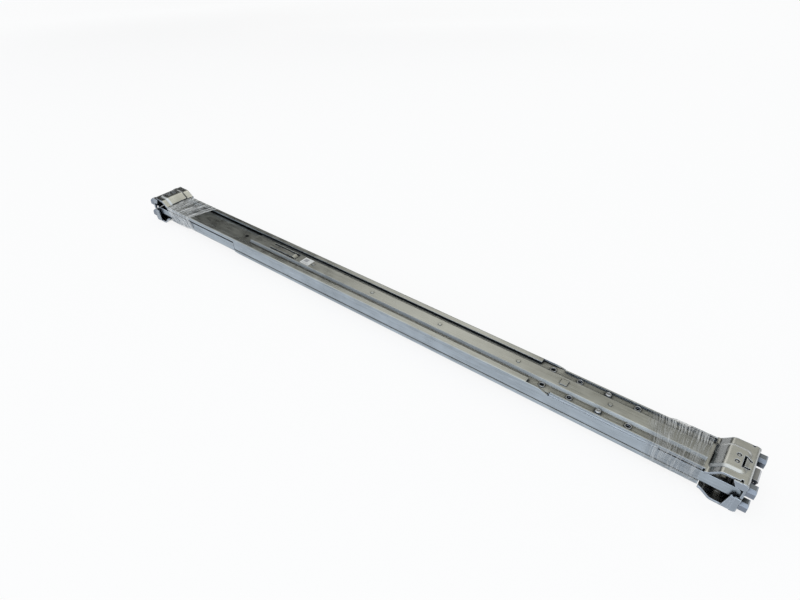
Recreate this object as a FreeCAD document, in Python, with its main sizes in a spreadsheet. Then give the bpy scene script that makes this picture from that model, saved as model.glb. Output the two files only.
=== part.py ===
import FreeCAD, Part
import os
import re
import Sketcher

# A pair of handed telescoping rack rails, packed face to face as a flat tube.
# Millimetres. +X runs along the rails, +Y away from the front side, +Z up.
# The origin is under the middle of the pack, on the surface that it lies on.
# The upper rail is modelled about the pack's centre: z counts from the plane where the two rails meet,
# y from the rail's own centre line. The lower rail is the upper one inverted through the pack's centre.

SIZES = {
    # Whole pack
    "flange_span": 689.0,       # over the outer faces of the end flanges, arms closed
    "nest_shift": 1.3,          # sideways shift of each rail from the pack's centre line
    "overcut": 1.0,             # how far a cut starts outside the piece
    # Channel that guides the arm
    "rail_width": 36.6,
    "web_level": 6.0,           # inboard face of the web, from the meeting plane
    "channel_gauge": 1.2,
    "channel_depth": 4.5,
    "lip_reach": 6.25,
    "bend_radius": 0.8,         # inside radius of the rolled bends
    "channel_setback": 2.2,     # from the foot of the front riser to the channel's end
    "arm_reveal": 148.5,        # from the channel's other end to the rear flange
    "lip_setback": 20.0,        # the lips stop this far short of the side walls
    "wall_chamfer_run": 10.0,
    "wall_chamfer_drop": 2.4,
    "detent_hole": 3.2,
    "detent_lead": 14.4,        # from the arm's inner end to the hole in the web
    # Ledge that carries the chassis
    "ledge_gauge": 1.2,
    "ledge_strip": 20.0,        # width of the leg that is welded to the web
    "ledge_gap": 0.6,           # from the free edge to the other rail's web
    "tongue_clearance": 2.2,    # from the ledge's end to the outer face of the end flange
    "tongue_drop": 1.2,         # the tongue beside the head stays this far under the web
    "tongue_round": 3.0,
    "arm_ledge_reach": 2.7,     # free edge of the arm's ledge, past the meeting plane
    # Extension arm
    "arm_gauge": 1.2,
    "slide_gap": 0.25,
    "arm_side_gap": 0.9,
    "arm_overlap": 371.0,       # length of arm inside the channel, closed
    "arm_setback": 3.0,         # from the arm's outer end to the foot of the rear riser
    "hat_top": 12.4,
    "hat_rise": 2.4,
    "hat_angle": 54.0,          # slope of the hat's walls, degrees
    "arm_edge_gap": 2.3,        # the exposed part is this much narrower than the channel, each side
    "arm_rim_gauge": 1.2,
    "arm_rim_height": 1.3,
    "seam_gap": 1.0,            # between the channel's end and the arm's wide part
    "hole_dia": 4.2,
    "hole_rows": 21.8,
    "hole_pitch": 24.0,
    "hole_pairs": 4,
    "hole_lead": 8.5,           # first pair of holes, inside the channel's end
    "collar_dia": 5.6,          # raised rim round each hole
    "collar_rise": 0.35,
    "screw_pair": 2,            # pairs of holes before the pair that holds the screws
    "dimple_dia": 3.0,
    "dimple_rise": 0.4,
    "dimple_pitch": 81.0,
    "dimple_count": 5,
    "dimple_lead": 92.0,        # first dimple, from the arm's inner end
    "coin_size": 6.0,           # square raised mark on the hat
    "coin_rise": 0.5,
    "coin_lead": 6.0,           # past the channel's end
    "spring_lead": 29.0,        # root of the lanced tongue, from the arm's inner end
    "spring_length": 38.0,
    "spring_width": 6.0,
    "spring_slot": 1.9,
    "spring_nose": 6.0,         # length of the tongue's bulged end
    "spring_crest": 1.6,        # from the start of the bulge to its top
    "spring_lift": 0.7,
    # End bracket
    "head_level": 14.9,         # outer face of the plateau, from the meeting plane
    "head_shift": 1.5,          # the head stands off the rail's centre line, towards the ledge
    "head_width": 40.5,
    "plateau_open_half": 18.4,  # from the middle of the head to the plateau's edge without the ledge
    "plateau_ledge_half": 19.9,
    "plateau_length": 18.0,
    "riser_run": 8.0,
    "bracket_gauge": 1.8,
    "bracket_bend": 4.5,
    "flange_bend": 0.8,
    "foot_length": 32.0,
    "front_foot_width": 28.0,
    "rear_foot_width": 35.0,
    "rear_foot_trim": 3.5,      # the rear foot is this much narrower on the side without the ledge
    "foot_relief": 1.6,
    "foot_rim_gauge": 1.2,      # upturned side of the rear foot, beside the arm
    "foot_rim_length": 19.0,
    "passage_gap": 0.4,         # round the other rail's ledge where it passes the front flange
    "flange_gap": 0.6,          # from the flange's free edge to the meeting plane
    "gusset_gauge": 1.5,
    "gusset_drop": 0.4,
    "gusset_corner": 1.0,
    "gusset_length": 10.0,
    "gusset_root": 7.0,
    "rib_clearance": 3.0,       # from the other rail's ledge up to the short gusset beside it
    "relief_place": 5.0,
    "relief_width": 1.6,
    "relief_depth": 1.5,
    "emboss_width": 25.0,       # at the foot of its sloped sides
    "emboss_rise": 1.2,
    "emboss_margin": 4.6,
    "emboss_round": 4.5,
    "emboss_slope": 2.4,        # run of the sloped sides
    "emboss_step": 0.1,         # left upright under them
    "emboss_toe": 1.2,
    "lance_root_width": 7.2,    # lanced tab, over the middles of its slots
    "lance_tip_width": 10.7,
    "lance_near": 3.0,          # root and free end of the tab, from the flange
    "lance_far": 7.75,
    "lance_slot": 1.5,
    "lance_shift": 1.0,         # off the middle of the head, towards the rail's centre line
    # Pegs
    "peg_pitch": 31.75,
    "peg_size": 9.0,
    "peg_chamfer": 2.2,
    "peg_tip": 1.0,
    "peg_reach": 5.5,
    "peg_level": 7.5,
    "tail_dia": 4.4,
    "tail_head_dia": 5.0,
    "tail_head": 1.2,
    "fit_gap": 0.1,             # radial gap of a rivet, screw or peg tail in its hole
    # Latch
    "latch_width": 12.0,
    "pivot_inset": 9.0,
    "pivot_level": 7.6,
    "pin_dia": 2.5,
    "pin_gap": 0.05,
    "pin_end": 0.6,
    "boss_radius": 2.6,
    "lever_half": 1.2,
    "hook_reach": 5.0,
    "hook_catch": 2.4,
    "hook_depth": 2.4,
    "hook_nose": 1.3,
    "window_gap": 0.5,
    "window_lift": 2.2,
    "lug_gauge": 1.5,
    "lug_gap": 0.4,
    "lug_half": 3.0,
    "lug_bite": 0.5,
    "leaf_gauge": 0.6,
    "leaf_gap": 0.05,
    "leaf_side": 0.5,
    "leaf_root": 15.0,
    "leaf_bend": 10.0,
    "leaf_press": 5.0,
    "leaf_end": 3.6,
    "leaf_lift": 0.5,
    "leaf_rivet_place": 12.0,
    "leaf_rivet_rows": 6.8,
    "leaf_rivet_dia": 2.4,
    "leaf_rivet_head": 0.6,
    "leaf_rivet_sink": 0.3,     # below the top of the emboss
    "leaf_rivet_ring": 0.4,     # open ring round it in the emboss
    # Rivets and screws
    "rivet_dia": 3.2,
    "front_rivet_rows": 16.0,
    "rear_rivet_rows": 22.0,
    "rivet_first": 8.0,
    "rivet_second": 24.0,
    "screw_dia": 4.0,
    "screw_head_dia": 5.2,
    "screw_head": 1.7,
    "screw_crown": 0.6,         # share of the head's width that is left at its top
    "screw_end": 0.4,
    # Sticker and film
    "label_length": 12.5,
    "label_width": 10.5,
    "label_gauge": 0.12,
    "label_lead": 82.5,
    "film_gauge": 0.2,
    "film_gap": 0.6,
    "film_length": 48.0,
    "film_setback": 3.2,
}

# Places that several pieces share, as formulas of the sizes
HALF_SPAN = "(flange_span / 2)"
HALF_RAIL = "(rail_width / 2)"
RISER_FOOT = "(plateau_length + riser_run)"
CHANNEL_START = f"(-({HALF_SPAN} - {RISER_FOOT} - channel_setback))"
CHANNEL_END = f"({HALF_SPAN} - arm_reveal)"
WEB_TOP = "(web_level + channel_gauge)"
LIP_TOP = "(web_level + channel_depth)"
LEDGE_EDGE = "(-(web_level - ledge_gap))"
ARM_LEDGE_EDGE = "(-arm_ledge_reach)"
TONGUE_TOP = "(web_level - tongue_drop)"
TONGUE_END = f"({HALF_SPAN} - tongue_clearance)"
ARM_START = f"({CHANNEL_END} - arm_overlap)"
ARM_END = f"({HALF_SPAN} - {RISER_FOOT} - arm_setback)"
ARM_BOTTOM = f"({WEB_TOP} + slide_gap)"
ARM_TOP = f"({ARM_BOTTOM} + arm_gauge)"
HAT_TOP = f"({ARM_TOP} + hat_rise)"
HAT_ANGLE = "(hat_angle * 1 deg)"
ARM_HALF = f"({HALF_RAIL} - channel_gauge - arm_side_gap)"
WIDE_HALF = f"({HALF_RAIL} - arm_edge_gap)"
WIDE_START = f"({CHANNEL_END} + seam_gap)"
FRONT_FOOT = f"({WEB_TOP} + bracket_gauge)"
REAR_FOOT = ARM_BOTTOM
FOOT_END = f"({RISER_FOOT} + foot_length)"
ROOF = "(head_level - bracket_gauge + emboss_rise)"
LEVER_TOP = "(pivot_level + lever_half)"
LEVER_BOTTOM = "(pivot_level - lever_half)"
MIDDLE = "(head_level + emboss_rise)"
BEND_OUTER = "(bend_radius + channel_gauge)"

doc = FreeCAD.newDocument("server_rails")
sheet = doc.addObject("Spreadsheet::Sheet", "dims")
for row, (alias, size) in enumerate(SIZES.items(), start=1):
    sheet.set(f"A{row}", str(size))
    sheet.setAlias(f"A{row}", alias)
doc.recompute()
ALIAS = re.compile(r"\b(" + "|".join(SIZES) + r")\b")


def linked(formula):
    """The formula with each size pointing at its cell."""
    return ALIAS.sub(r"dims.\1", str(formula))


def number(formula):
    """The formula's present value in millimetres."""
    return float(sheet.evalExpression(linked(formula)))


def bind(target, **formulas):
    """Tie properties of an object to formulas; a double underscore stands for a dot."""
    for name, formula in formulas.items():
        target.setExpression(name.replace("__", "."), linked(formula))


def place(target, x=0, y=0, z=0):
    """Place a piece of the upper rail, given about the rail's own centre."""
    bind(target, Placement__Base__x=x, Placement__Base__y=f"{y} - nest_shift",
         Placement__Base__z=f"{z} + {MIDDLE}")


def new_body(label, shift=0):
    """Body of a piece of the upper rail, drawn about the rail's centre line or shifted from it."""
    body = doc.addObject("PartDesign::Body", label)
    body.Label = label
    place(body, y=shift)
    return body


def origin_plane(body, role):
    return next(item for item in body.Origin.OriginFeatures if item.Role == role)


def sketch(body, role, outlines=(), circles=(), offset=0):
    """Closed outlines of (u, v) corners and circles of (u, v, radius) on one of the body's planes."""
    drawing = body.newObject("Sketcher::SketchObject", f"{body.Name}_sketch")
    drawing.AttachmentSupport = [(origin_plane(body, role), "")]
    drawing.MapMode = "FlatFace"
    bind(drawing, AttachmentOffset__Base__z=offset)
    for outline in outlines:
        add_outline(drawing, outline)
    for u, v, radius in circles:
        centre = FreeCAD.Vector(number(u), number(v), 0)
        circle = drawing.addGeometry(Part.Circle(centre, FreeCAD.Vector(0, 0, 1), number(radius)), False)
        hold_point(drawing, circle, 3, u, v)
        hold(drawing, Sketcher.Constraint("Radius", circle, number(radius)), radius)
    return drawing


def add_outline(drawing, corners):
    points = [FreeCAD.Vector(number(u), number(v), 0) for u, v in corners]
    ends = points[1:] + points[:1]
    lines = [drawing.addGeometry(Part.LineSegment(start, end), False) for start, end in zip(points, ends)]
    for line, following in zip(lines, lines[1:] + lines[:1]):
        drawing.addConstraint(Sketcher.Constraint("Coincident", line, 2, following, 1))
    for line, (u, v) in zip(lines, corners):
        hold_point(drawing, line, 1, u, v)


def hold_point(drawing, geometry, point, u, v):
    hold(drawing, Sketcher.Constraint("DistanceX", -1, 1, geometry, point, number(u)), u)
    hold(drawing, Sketcher.Constraint("DistanceY", -1, 1, geometry, point, number(v)), v)


def hold(drawing, constraint, formula):
    index = drawing.addConstraint(constraint)
    drawing.setExpression(f"Constraints[{index}]", linked(formula))


def rectangle(u0, v0, u1, v1):
    return [(u0, v0), (u1, v0), (u1, v1), (u0, v1)]


def pad(body, drawing, length, symmetric=False, backwards=False):
    feature = body.newObject("PartDesign::Pad", f"{body.Name}_pad")
    feature.Profile = drawing
    feature.SideType = "Symmetric" if symmetric else "One side"
    feature.Reversed = backwards
    bind(feature, Length=length)
    doc.recompute()
    return feature


def pocket(body, drawing, length=None, symmetric=False, backwards=False):
    """Cut a sketch out of the body, right through where no length is given."""
    before = body.Shape.Volume
    feature = body.newObject("PartDesign::Pocket", f"{body.Name}_pocket")
    feature.Profile = drawing
    feature.Reversed = backwards
    if length is None:
        feature.Type = "ThroughAll"
        feature.SideType = "Symmetric"
    else:
        feature.SideType = "Symmetric" if symmetric else "One side"
        bind(feature, Length=length)
    doc.recompute()
    if not body.Shape.Volume < before:
        raise RuntimeError(f"{feature.Name} cuts nothing")
    return feature


def mirrored(body, feature, role):
    """Repeat a feature on the other side of one of the body's planes."""
    copy = body.newObject("PartDesign::Mirrored", f"{body.Name}_mirrored")
    copy.Originals = [feature]
    copy.MirrorPlane = (origin_plane(body, role), [""])
    body.Tip = copy
    doc.recompute()
    return copy


def repeated(body, feature, pitch, count):
    """Repeat a feature along X."""
    pattern = body.newObject("PartDesign::LinearPattern", f"{body.Name}_row")
    pattern.Originals = [feature]
    x_axis = next(item for item in body.Origin.OriginFeatures if item.Role == "X_Axis")
    pattern.Direction = (x_axis, [""])
    pattern.Mode = "Spacing"
    bind(pattern, Offset=pitch, Occurrences=count)
    body.Tip = pattern
    doc.recompute()
    return pattern


def edges_along(shape, axis, spots):
    """Names of the straight edges along an axis that stand at the given places of the other two axes."""
    others = [index for index in range(3) if index != axis]
    wanted = [(number(u), number(v)) for u, v in spots]
    names = []
    for index, edge in enumerate(shape.Edges, start=1):
        start, end = edge.Vertexes[0].Point, edge.Vertexes[-1].Point
        if edge.Curve.TypeId != "Part::GeomLine" or abs(start[axis] - end[axis]) < 0.99 * edge.Length:
            continue
        spot = [start[other] for other in others]
        if any(abs(spot[0] - u) + abs(spot[1] - v) < 0.01 for u, v in wanted):
            names.append(f"Edge{index}")
    if len(names) < len(wanted):
        raise RuntimeError(f"{len(names)} edges found for {len(wanted)} places")
    return names


def round_edges(body, base, axis, spots, radius, kind="Fillet", drop=None):
    """Fillet or chamfer edges and what runs on from them; a drop makes the chamfer's legs unequal."""
    feature = body.newObject(f"PartDesign::{kind}", f"{body.Name}_{kind.lower()}")
    feature.Base = (base, edges_along(base.Shape, axis, spots))
    bind(feature, **{"Radius" if kind == "Fillet" else "Size": radius})
    if drop is not None:
        feature.ChamferType = "Two distances"
        bind(feature, Size2=drop)
    doc.recompute()
    if "Invalid" in feature.State:
        raise RuntimeError(f"{feature.Name} can't be made")
    return feature


def both_sides(spots):
    """The given (y, z) places and their images across the rail's centre line."""
    return spots + [(f"-({y})", z) for y, z in spots]


def build_channel():
    """Shallow C section with its lips outward."""
    body = new_body("upper_channel")
    inner = f"({HALF_RAIL} - channel_gauge)"
    lip_edge = f"({HALF_RAIL} - lip_reach)"
    lip_under = f"({LIP_TOP} - channel_gauge)"
    half = [(HALF_RAIL, "web_level"), (HALF_RAIL, LIP_TOP), (lip_edge, LIP_TOP),
            (lip_edge, lip_under), (inner, lip_under), (inner, WEB_TOP)]
    section = half + [(f"-({y})", z) for y, z in reversed(half)]
    base = pad(body, sketch(body, "YZ_Plane", [section], offset=CHANNEL_START),
               f"{CHANNEL_END} - {CHANNEL_START}")
    outside = both_sides([(HALF_RAIL, "web_level"), (HALF_RAIL, LIP_TOP)])
    rolled = round_edges(body, base, 0, outside, BEND_OUTER)
    round_edges(body, rolled, 0, both_sides([(inner, WEB_TOP), (inner, lip_under)]), "bend_radius")

    lips = rectangle(f"{CHANNEL_END} - lip_setback", f"-{inner}", f"{CHANNEL_END} + overcut", inner)
    pocket(body, sketch(body, "XY_Plane", [lips], offset=LIP_TOP), "channel_gauge")
    corner = [(f"{CHANNEL_END} - wall_chamfer_run", LIP_TOP), (f"{CHANNEL_END} + overcut", LIP_TOP),
              (f"{CHANNEL_END} + overcut", f"{LIP_TOP} - wall_chamfer_drop"),
              (CHANNEL_END, f"{LIP_TOP} - wall_chamfer_drop")]
    pocket(body, sketch(body, "XZ_Plane", [corner]))
    holes = [(f"{ARM_START} - detent_lead", 0, "detent_hole / 2")]
    holes += foot_rivet_holes(-1, "front_rivet_rows")
    pocket(body, sketch(body, "XY_Plane", circles=holes))
    return body


def build_ledge():
    """L section under the channel, which runs on as a tongue beside the front head."""
    body = new_body("upper_ledge")
    inner = f"({HALF_RAIL} - ledge_gauge)"
    under = "(web_level - ledge_gauge)"
    section = [(HALF_RAIL, "web_level"), (HALF_RAIL, LEDGE_EDGE), (inner, LEDGE_EDGE), (inner, under),
               (f"{HALF_RAIL} - ledge_strip", under), (f"{HALF_RAIL} - ledge_strip", "web_level")]
    base = pad(body, sketch(body, "YZ_Plane", [section], offset=f"-{TONGUE_END}"),
               f"{CHANNEL_END} + {TONGUE_END}")
    bend = round_edges(body, base, 0, [(HALF_RAIL, "web_level")], "bend_radius + ledge_gauge")
    round_edges(body, bend, 0, [(inner, under)], "bend_radius")
    cut = tongue_cut(-1, f"-{CHANNEL_START}", "web_level")
    step = pocket(body, sketch(body, "XZ_Plane", [cut]))
    round_edges(body, step, 1, [(f"-{TONGUE_END}", LEDGE_EDGE)], "tongue_round")
    return body


def tongue_cut(side, start, top):
    """Clears a ledge's upper edge from the head, with a slanted step at the start."""
    slant = f"({top} - {TONGUE_TOP})"
    above = f"{top} + overcut"
    outside = f"{side} * ({TONGUE_END} + overcut)"
    return [(f"{side} * ({start})", above), (f"{side} * ({start})", top),
            (f"{side} * ({start} + {slant})", TONGUE_TOP), (outside, TONGUE_TOP), (outside, above)]


def build_arm():
    """Hat section that slides in the channel, wider where it is always outside."""
    body = new_body("upper_arm")
    hat_half = "(hat_top / 2)"
    hat_foot = f"({hat_half} + hat_rise / tan({HAT_ANGLE}))"
    inset = f"(arm_gauge * tan({HAT_ANGLE} / 2))"
    hat_under = f"({HAT_TOP} - arm_gauge)"
    outer = [(ARM_HALF, ARM_TOP), (hat_foot, ARM_TOP), (hat_half, HAT_TOP)]
    under = [(f"{hat_half} - {inset}", hat_under), (f"{hat_foot} - {inset}", ARM_BOTTOM),
             (ARM_HALF, ARM_BOTTOM)]
    section = (outer + [(f"-({y})", z) for y, z in reversed(outer)]
               + [(f"-({y})", z) for y, z in reversed(under)] + under)
    base = pad(body, sketch(body, "YZ_Plane", [section], offset=ARM_START), f"{ARM_END} - {ARM_START}")
    round_edges(body, base, 0, both_sides([(hat_half, HAT_TOP), (hat_foot, ARM_TOP)]), "bend_radius")

    rim = f"({WIDE_HALF} - arm_rim_gauge)"
    rim_top = f"({ARM_TOP} + arm_rim_height)"
    root = f"({ARM_HALF} - arm_rim_gauge)"
    wing = [(root, ARM_BOTTOM), (WIDE_HALF, ARM_BOTTOM), (WIDE_HALF, rim_top), (rim, rim_top),
            (rim, ARM_TOP), (root, ARM_TOP)]
    wings = [wing, [(f"-({y})", z) for y, z in wing]]
    pad(body, sketch(body, "YZ_Plane", wings, offset=WIDE_START), f"{ARM_END} - {WIDE_START}")

    first = f"({CHANNEL_END} - hole_lead)"
    collars = pad(body, sketch(body, "XY_Plane", circles=hole_pair(first, "collar_dia"),
                               offset=f"{ARM_TOP} - arm_gauge / 2"), "arm_gauge / 2 + collar_rise")
    repeated(body, collars, "hole_pitch", "hole_pairs")
    holes = pocket(body, sketch(body, "XY_Plane", circles=hole_pair(first, "hole_dia")))
    repeated(body, holes, "hole_pitch", "hole_pairs")
    pocket(body, sketch(body, "XY_Plane", circles=foot_rivet_holes(1, "rear_rivet_rows")))
    cut_spring_tongue(body)

    dimple = [(f"{ARM_START} + dimple_lead", 0, "dimple_dia / 2")]
    raised = pad(body, sketch(body, "XY_Plane", circles=dimple, offset=f"{HAT_TOP} - arm_gauge / 2"),
                 "arm_gauge / 2 + dimple_rise")
    repeated(body, raised, "dimple_pitch", "dimple_count")
    coin_middle = f"({CHANNEL_END} + coin_lead)"
    coin = rectangle(f"{coin_middle} - coin_size / 2", "-coin_size / 2",
                     f"{coin_middle} + coin_size / 2", "coin_size / 2")
    pad(body, sketch(body, "XY_Plane", [coin], offset=f"{HAT_TOP} - arm_gauge / 2"),
        "arm_gauge / 2 + coin_rise")
    return body


def hole_pair(x, diameter):
    """Two circles across the rail at a place along it."""
    return [(x, f"{sign} * hole_rows / 2", f"{diameter} / 2") for sign in (-1, 1)]


def cut_spring_tongue(body):
    """U-shaped slot that frees a tongue in the hat, with a bulge on the tongue's end."""
    root = f"({ARM_START} + spring_lead)"
    tip = f"({root} + spring_length)"
    bulge = f"({tip} - spring_nose)"
    crest = f"({bulge} + spring_crest)"
    half = "(spring_width / 2)"
    slot_half = f"({half} + spring_slot)"
    slot = [(root, slot_half), (f"{tip} + spring_slot", slot_half), (f"{tip} + spring_slot", f"-{slot_half}"),
            (root, f"-{slot_half}"), (root, f"-{half}"), (crest, f"-{half}"), (crest, half), (root, half)]
    pocket(body, sketch(body, "XY_Plane", [slot]))
    underside = f"({HAT_TOP} - arm_gauge)"
    nose = [(bulge, HAT_TOP), (crest, f"{HAT_TOP} + spring_lift"), (tip, underside),
            (tip, f"{underside} - arm_gauge / 2"), (crest, underside), (bulge, underside)]
    pad(body, sketch(body, "XZ_Plane", [nose]), "spring_width", symmetric=True)


def build_arm_ledge():
    """L section under the wide part of the arm, in line with the channel's ledge."""
    body = new_body("upper_arm_ledge")
    inner = f"({HALF_RAIL} - ledge_gauge)"
    under = f"({ARM_BOTTOM} - ledge_gauge)"
    web_edge = f"-({HALF_RAIL} - ledge_gauge - arm_side_gap)"
    section = [(HALF_RAIL, ARM_BOTTOM), (HALF_RAIL, ARM_LEDGE_EDGE), (inner, ARM_LEDGE_EDGE), (inner, under),
               (web_edge, under), (web_edge, ARM_BOTTOM)]
    base = pad(body, sketch(body, "YZ_Plane", [section], offset=WIDE_START), f"{TONGUE_END} - {WIDE_START}")
    bend = round_edges(body, base, 0, [(HALF_RAIL, ARM_BOTTOM)], "bend_radius + ledge_gauge")
    round_edges(body, bend, 0, [(inner, under)], "bend_radius")
    cut = tongue_cut(1, f"{HALF_SPAN} - {FOOT_END} - arm_setback", ARM_BOTTOM)
    step = pocket(body, sketch(body, "XZ_Plane", [cut]))
    round_edges(body, step, 1, [(TONGUE_END, ARM_LEDGE_EDGE)], "tongue_round")
    first = f"({CHANNEL_END} - hole_lead + hole_pitch)"
    holes = pocket(body, sketch(body, "XY_Plane", circles=hole_pair(first, "hole_dia")))
    repeated(body, holes, "hole_pitch", "hole_pairs - 1")
    return body


def foot_rivet_places(side, rows):
    """Four (x, y) places of the rivets in a bracket's foot."""
    inset = [f"({RISER_FOOT} + {step})" for step in ("rivet_first", "rivet_second")]
    return [(f"{side} * ({HALF_SPAN} - {step})", f"{sign} * {rows} / 2")
            for step in inset for sign in (-1, 1)]


def foot_rivet_holes(side, rows):
    return [(x, y, "rivet_dia / 2 + fit_gap") for x, y in foot_rivet_places(side, rows)]


def leaf_rivet_places(side):
    return [(f"{side} * ({HALF_SPAN} - leaf_rivet_place)", f"{sign} * leaf_rivet_rows / 2")
            for sign in (-1, 1)]


def build_bracket(name, side, foot, rows):
    """End bracket; side is the end of the pack, foot the level of the foot's outer face."""
    body = new_body(f"upper_{name}_bracket", "head_shift")
    slope = f"atan((head_level - {foot}) / riser_run)"
    inset = f"(bracket_gauge * tan({slope} / 2))"

    def at(depth, level):
        return (f"{side} * ({HALF_SPAN} - ({depth}))", level)

    foot_under = f"({foot} - bracket_gauge)"
    roof = "(head_level - bracket_gauge)"
    profile = [at(0, "flange_gap"), at(0, "head_level"), at("plateau_length", "head_level"),
               at(RISER_FOOT, foot), at(FOOT_END, foot), at(FOOT_END, foot_under),
               at(f"{RISER_FOOT} - {inset}", foot_under), at(f"plateau_length - {inset}", roof),
               at("bracket_gauge", roof), at("bracket_gauge", "flange_gap")]
    base = pad(body, sketch(body, "XZ_Plane", [profile]), "head_width", symmetric=True)
    outer = round_edges(body, base, 1, [profile[2], profile[6]], "bracket_bend + bracket_gauge")
    inner = round_edges(body, outer, 1, [profile[3], profile[7]], "bracket_bend")
    corner = round_edges(body, inner, 1, [profile[1]], "flange_bend + bracket_gauge")
    round_edges(body, corner, 1, [profile[8]], "flange_bend")

    edge = "head_width / 2"
    shoulder = "relief_place - relief_width / 2"
    plateau_edges = {-1: "-plateau_open_half", 1: "plateau_ledge_half"}
    trims = []
    for sign in (-1, 1):
        start, step, end = [at(depth, 0)[0] for depth in
                            (shoulder, f"{RISER_FOOT} + foot_relief", f"{FOOT_END} + overcut")]
        plateau_edge = plateau_edges[sign]
        foot_edge = f"{sign} * {name}_foot_width / 2 - head_shift"
        if name == "rear" and sign < 0:
            foot_edge += " + rear_foot_trim"
        outside = f"{sign} * ({edge} + overcut)"
        trims.append([(start, plateau_edge), (step, plateau_edge), (step, foot_edge), (end, foot_edge),
                      (end, outside), (start, outside)])
    pocket(body, sketch(body, "XY_Plane", trims))

    rib_base = f"(-{LEDGE_EDGE} + rib_clearance)"
    for start, base_level in ((f"{edge} - gusset_gauge", rib_base), (f"-{edge}", "flange_gap")):
        add_gusset(body, at, start, base_level)
    add_emboss(body, at, foot, slope)
    notches = []
    for sign in (-1, 1):
        near, far = at("relief_place - relief_width / 2", 0)[0], at("relief_place + relief_width / 2", 0)[0]
        notches.append(rectangle(near, f"{plateau_edges[sign]} - {sign} * relief_depth",
                                 far, plateau_edges[sign]))
    pocket(body, sketch(body, "XY_Plane", notches))
    cut_lance(body, at)
    holes = [(x, y, "leaf_rivet_dia / 2 + leaf_rivet_ring") for x, y in leaf_rivet_places(side)]
    holes += [(x, f"{y} - head_shift", radius) for x, y, radius in foot_rivet_holes(side, rows)]
    pocket(body, sketch(body, "XY_Plane", circles=holes))

    window_half = "(latch_width / 2 + window_gap)"
    openings = [rectangle(f"-{window_half}", f"{LEVER_BOTTOM} - hook_depth - window_gap",
                          window_half, f"{LEVER_TOP} + window_lift")]
    if name == "front":
        ledge_face = f"({HALF_RAIL} - 2 * nest_shift + head_shift)"
        openings.append(rectangle(f"-({ledge_face} + passage_gap)", 0,
                                  f"-({ledge_face} - ledge_gauge - passage_gap)",
                                  "arm_ledge_reach + passage_gap"))
    tails = [(f"{sign} * peg_pitch / 2", "peg_level", "tail_dia / 2 + fit_gap") for sign in (-1, 1)]
    face = sketch(body, "YZ_Plane", openings, tails, offset=f"{side} * ({HALF_SPAN} + overcut)")
    pocket(body, face, "bracket_gauge + flange_bend + overcut", backwards=side < 0)
    add_lugs(body, at)
    if name == "rear":
        add_foot_rim(body, at, foot_under)
    return body


def add_gusset(body, at, start, base_level):
    """Side plate of the end flange, down to a level."""
    top = "(head_level - gusset_drop)"
    outline = [at(0, f"{top} - gusset_corner"), at("gusset_corner", top), at("gusset_length", top),
               at("gusset_root", base_level), at(0, base_level)]
    pad(body, sketch(body, "XZ_Plane", [outline], offset=start), "gusset_gauge")


def add_foot_rim(body, at, foot_under):
    """Upturned side of the foot over the ledge, as high as the channel's lips."""
    start = f"{RISER_FOOT} + foot_relief"
    rim = rectangle(at(start, 0)[0], foot_under, at(f"{start} + foot_rim_length", 0)[0], LIP_TOP)
    pad(body, sketch(body, "XZ_Plane", [rim], offset="head_shift - rear_foot_width / 2"), "foot_rim_gauge")


def add_emboss(body, at, foot, slope):
    """Raised panel that runs up the riser and along the plateau, hollow under the plateau."""
    half_gauge = "bracket_gauge / 2"
    toe = f"({RISER_FOOT} + emboss_rise / sin({slope}) - emboss_toe / tan({slope}))"
    panel = [at("emboss_margin", f"head_level - {half_gauge}"), at("emboss_margin", MIDDLE),
             at(f"plateau_length + emboss_rise * tan({slope} / 2)", MIDDLE), at(toe, f"{foot} + emboss_toe"),
             at(toe, f"{foot} - {half_gauge}"), at("plateau_length", f"head_level - {half_gauge}")]
    raised = pad(body, sketch(body, "XZ_Plane", [panel]), "emboss_width", symmetric=True)
    corners = [(panel[0][0], f"{sign} * emboss_width / 2") for sign in (-1, 1)]
    rounded = round_edges(body, raised, 2, corners, "emboss_round")
    bent = round_edges(body, rounded, 1, [panel[2]], "bracket_bend + bracket_gauge")
    rims = [(f"{sign} * emboss_width / 2", MIDDLE) for sign in (-1, 1)]
    round_edges(body, bent, 0, rims, "emboss_rise - emboss_step", kind="Chamfer", drop="emboss_slope")
    inside = rectangle(at("emboss_margin + bracket_gauge", 0)[0], "head_level - bracket_gauge - overcut",
                       at("plateau_length - bracket_gauge", 0)[0], ROOF)
    pocket(body, sketch(body, "XZ_Plane", [inside]), "emboss_width - 2 * bracket_gauge", symmetric=True)


def cut_lance(body, at):
    """Slot round three sides of a tapered tab in the plateau."""
    corners = []
    for side in (1, -1):
        near, far = at("lance_near", 0)[0], at(f"lance_far + {side} * lance_slot / 2", 0)[0]
        root_half = f"(lance_root_width / 2 + {side} * lance_slot / 2)"
        tip_half = f"(lance_tip_width / 2 + {side} * lance_slot / 2)"
        outline = [(near, root_half), (far, tip_half), (far, f"-{tip_half}"), (near, f"-{root_half}")]
        corners += outline[::side]
    pocket(body, sketch(body, "XY_Plane", [[(x, f"{y} - lance_shift") for x, y in corners]]))


def add_lugs(body, at):
    """Two lugs under the plateau that hold the latch pin."""
    lug = rectangle(at("pivot_inset - lug_half", 0)[0], "pivot_level - lug_half",
                    at("pivot_inset + lug_half", 0)[0], f"{ROOF} + lug_bite")
    lug_pad = pad(body, sketch(body, "XZ_Plane", [lug], offset="latch_width / 2 + lug_gap"), "lug_gauge")
    mirrored(body, lug_pad, "XZ_Plane")
    bore = [at("pivot_inset", "pivot_level") + ("pin_dia / 2 + pin_gap",)]
    pocket(body, sketch(body, "XZ_Plane", circles=bore), "latch_width + 2 * lug_gap + 4 * lug_gauge",
           symmetric=True)


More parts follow.
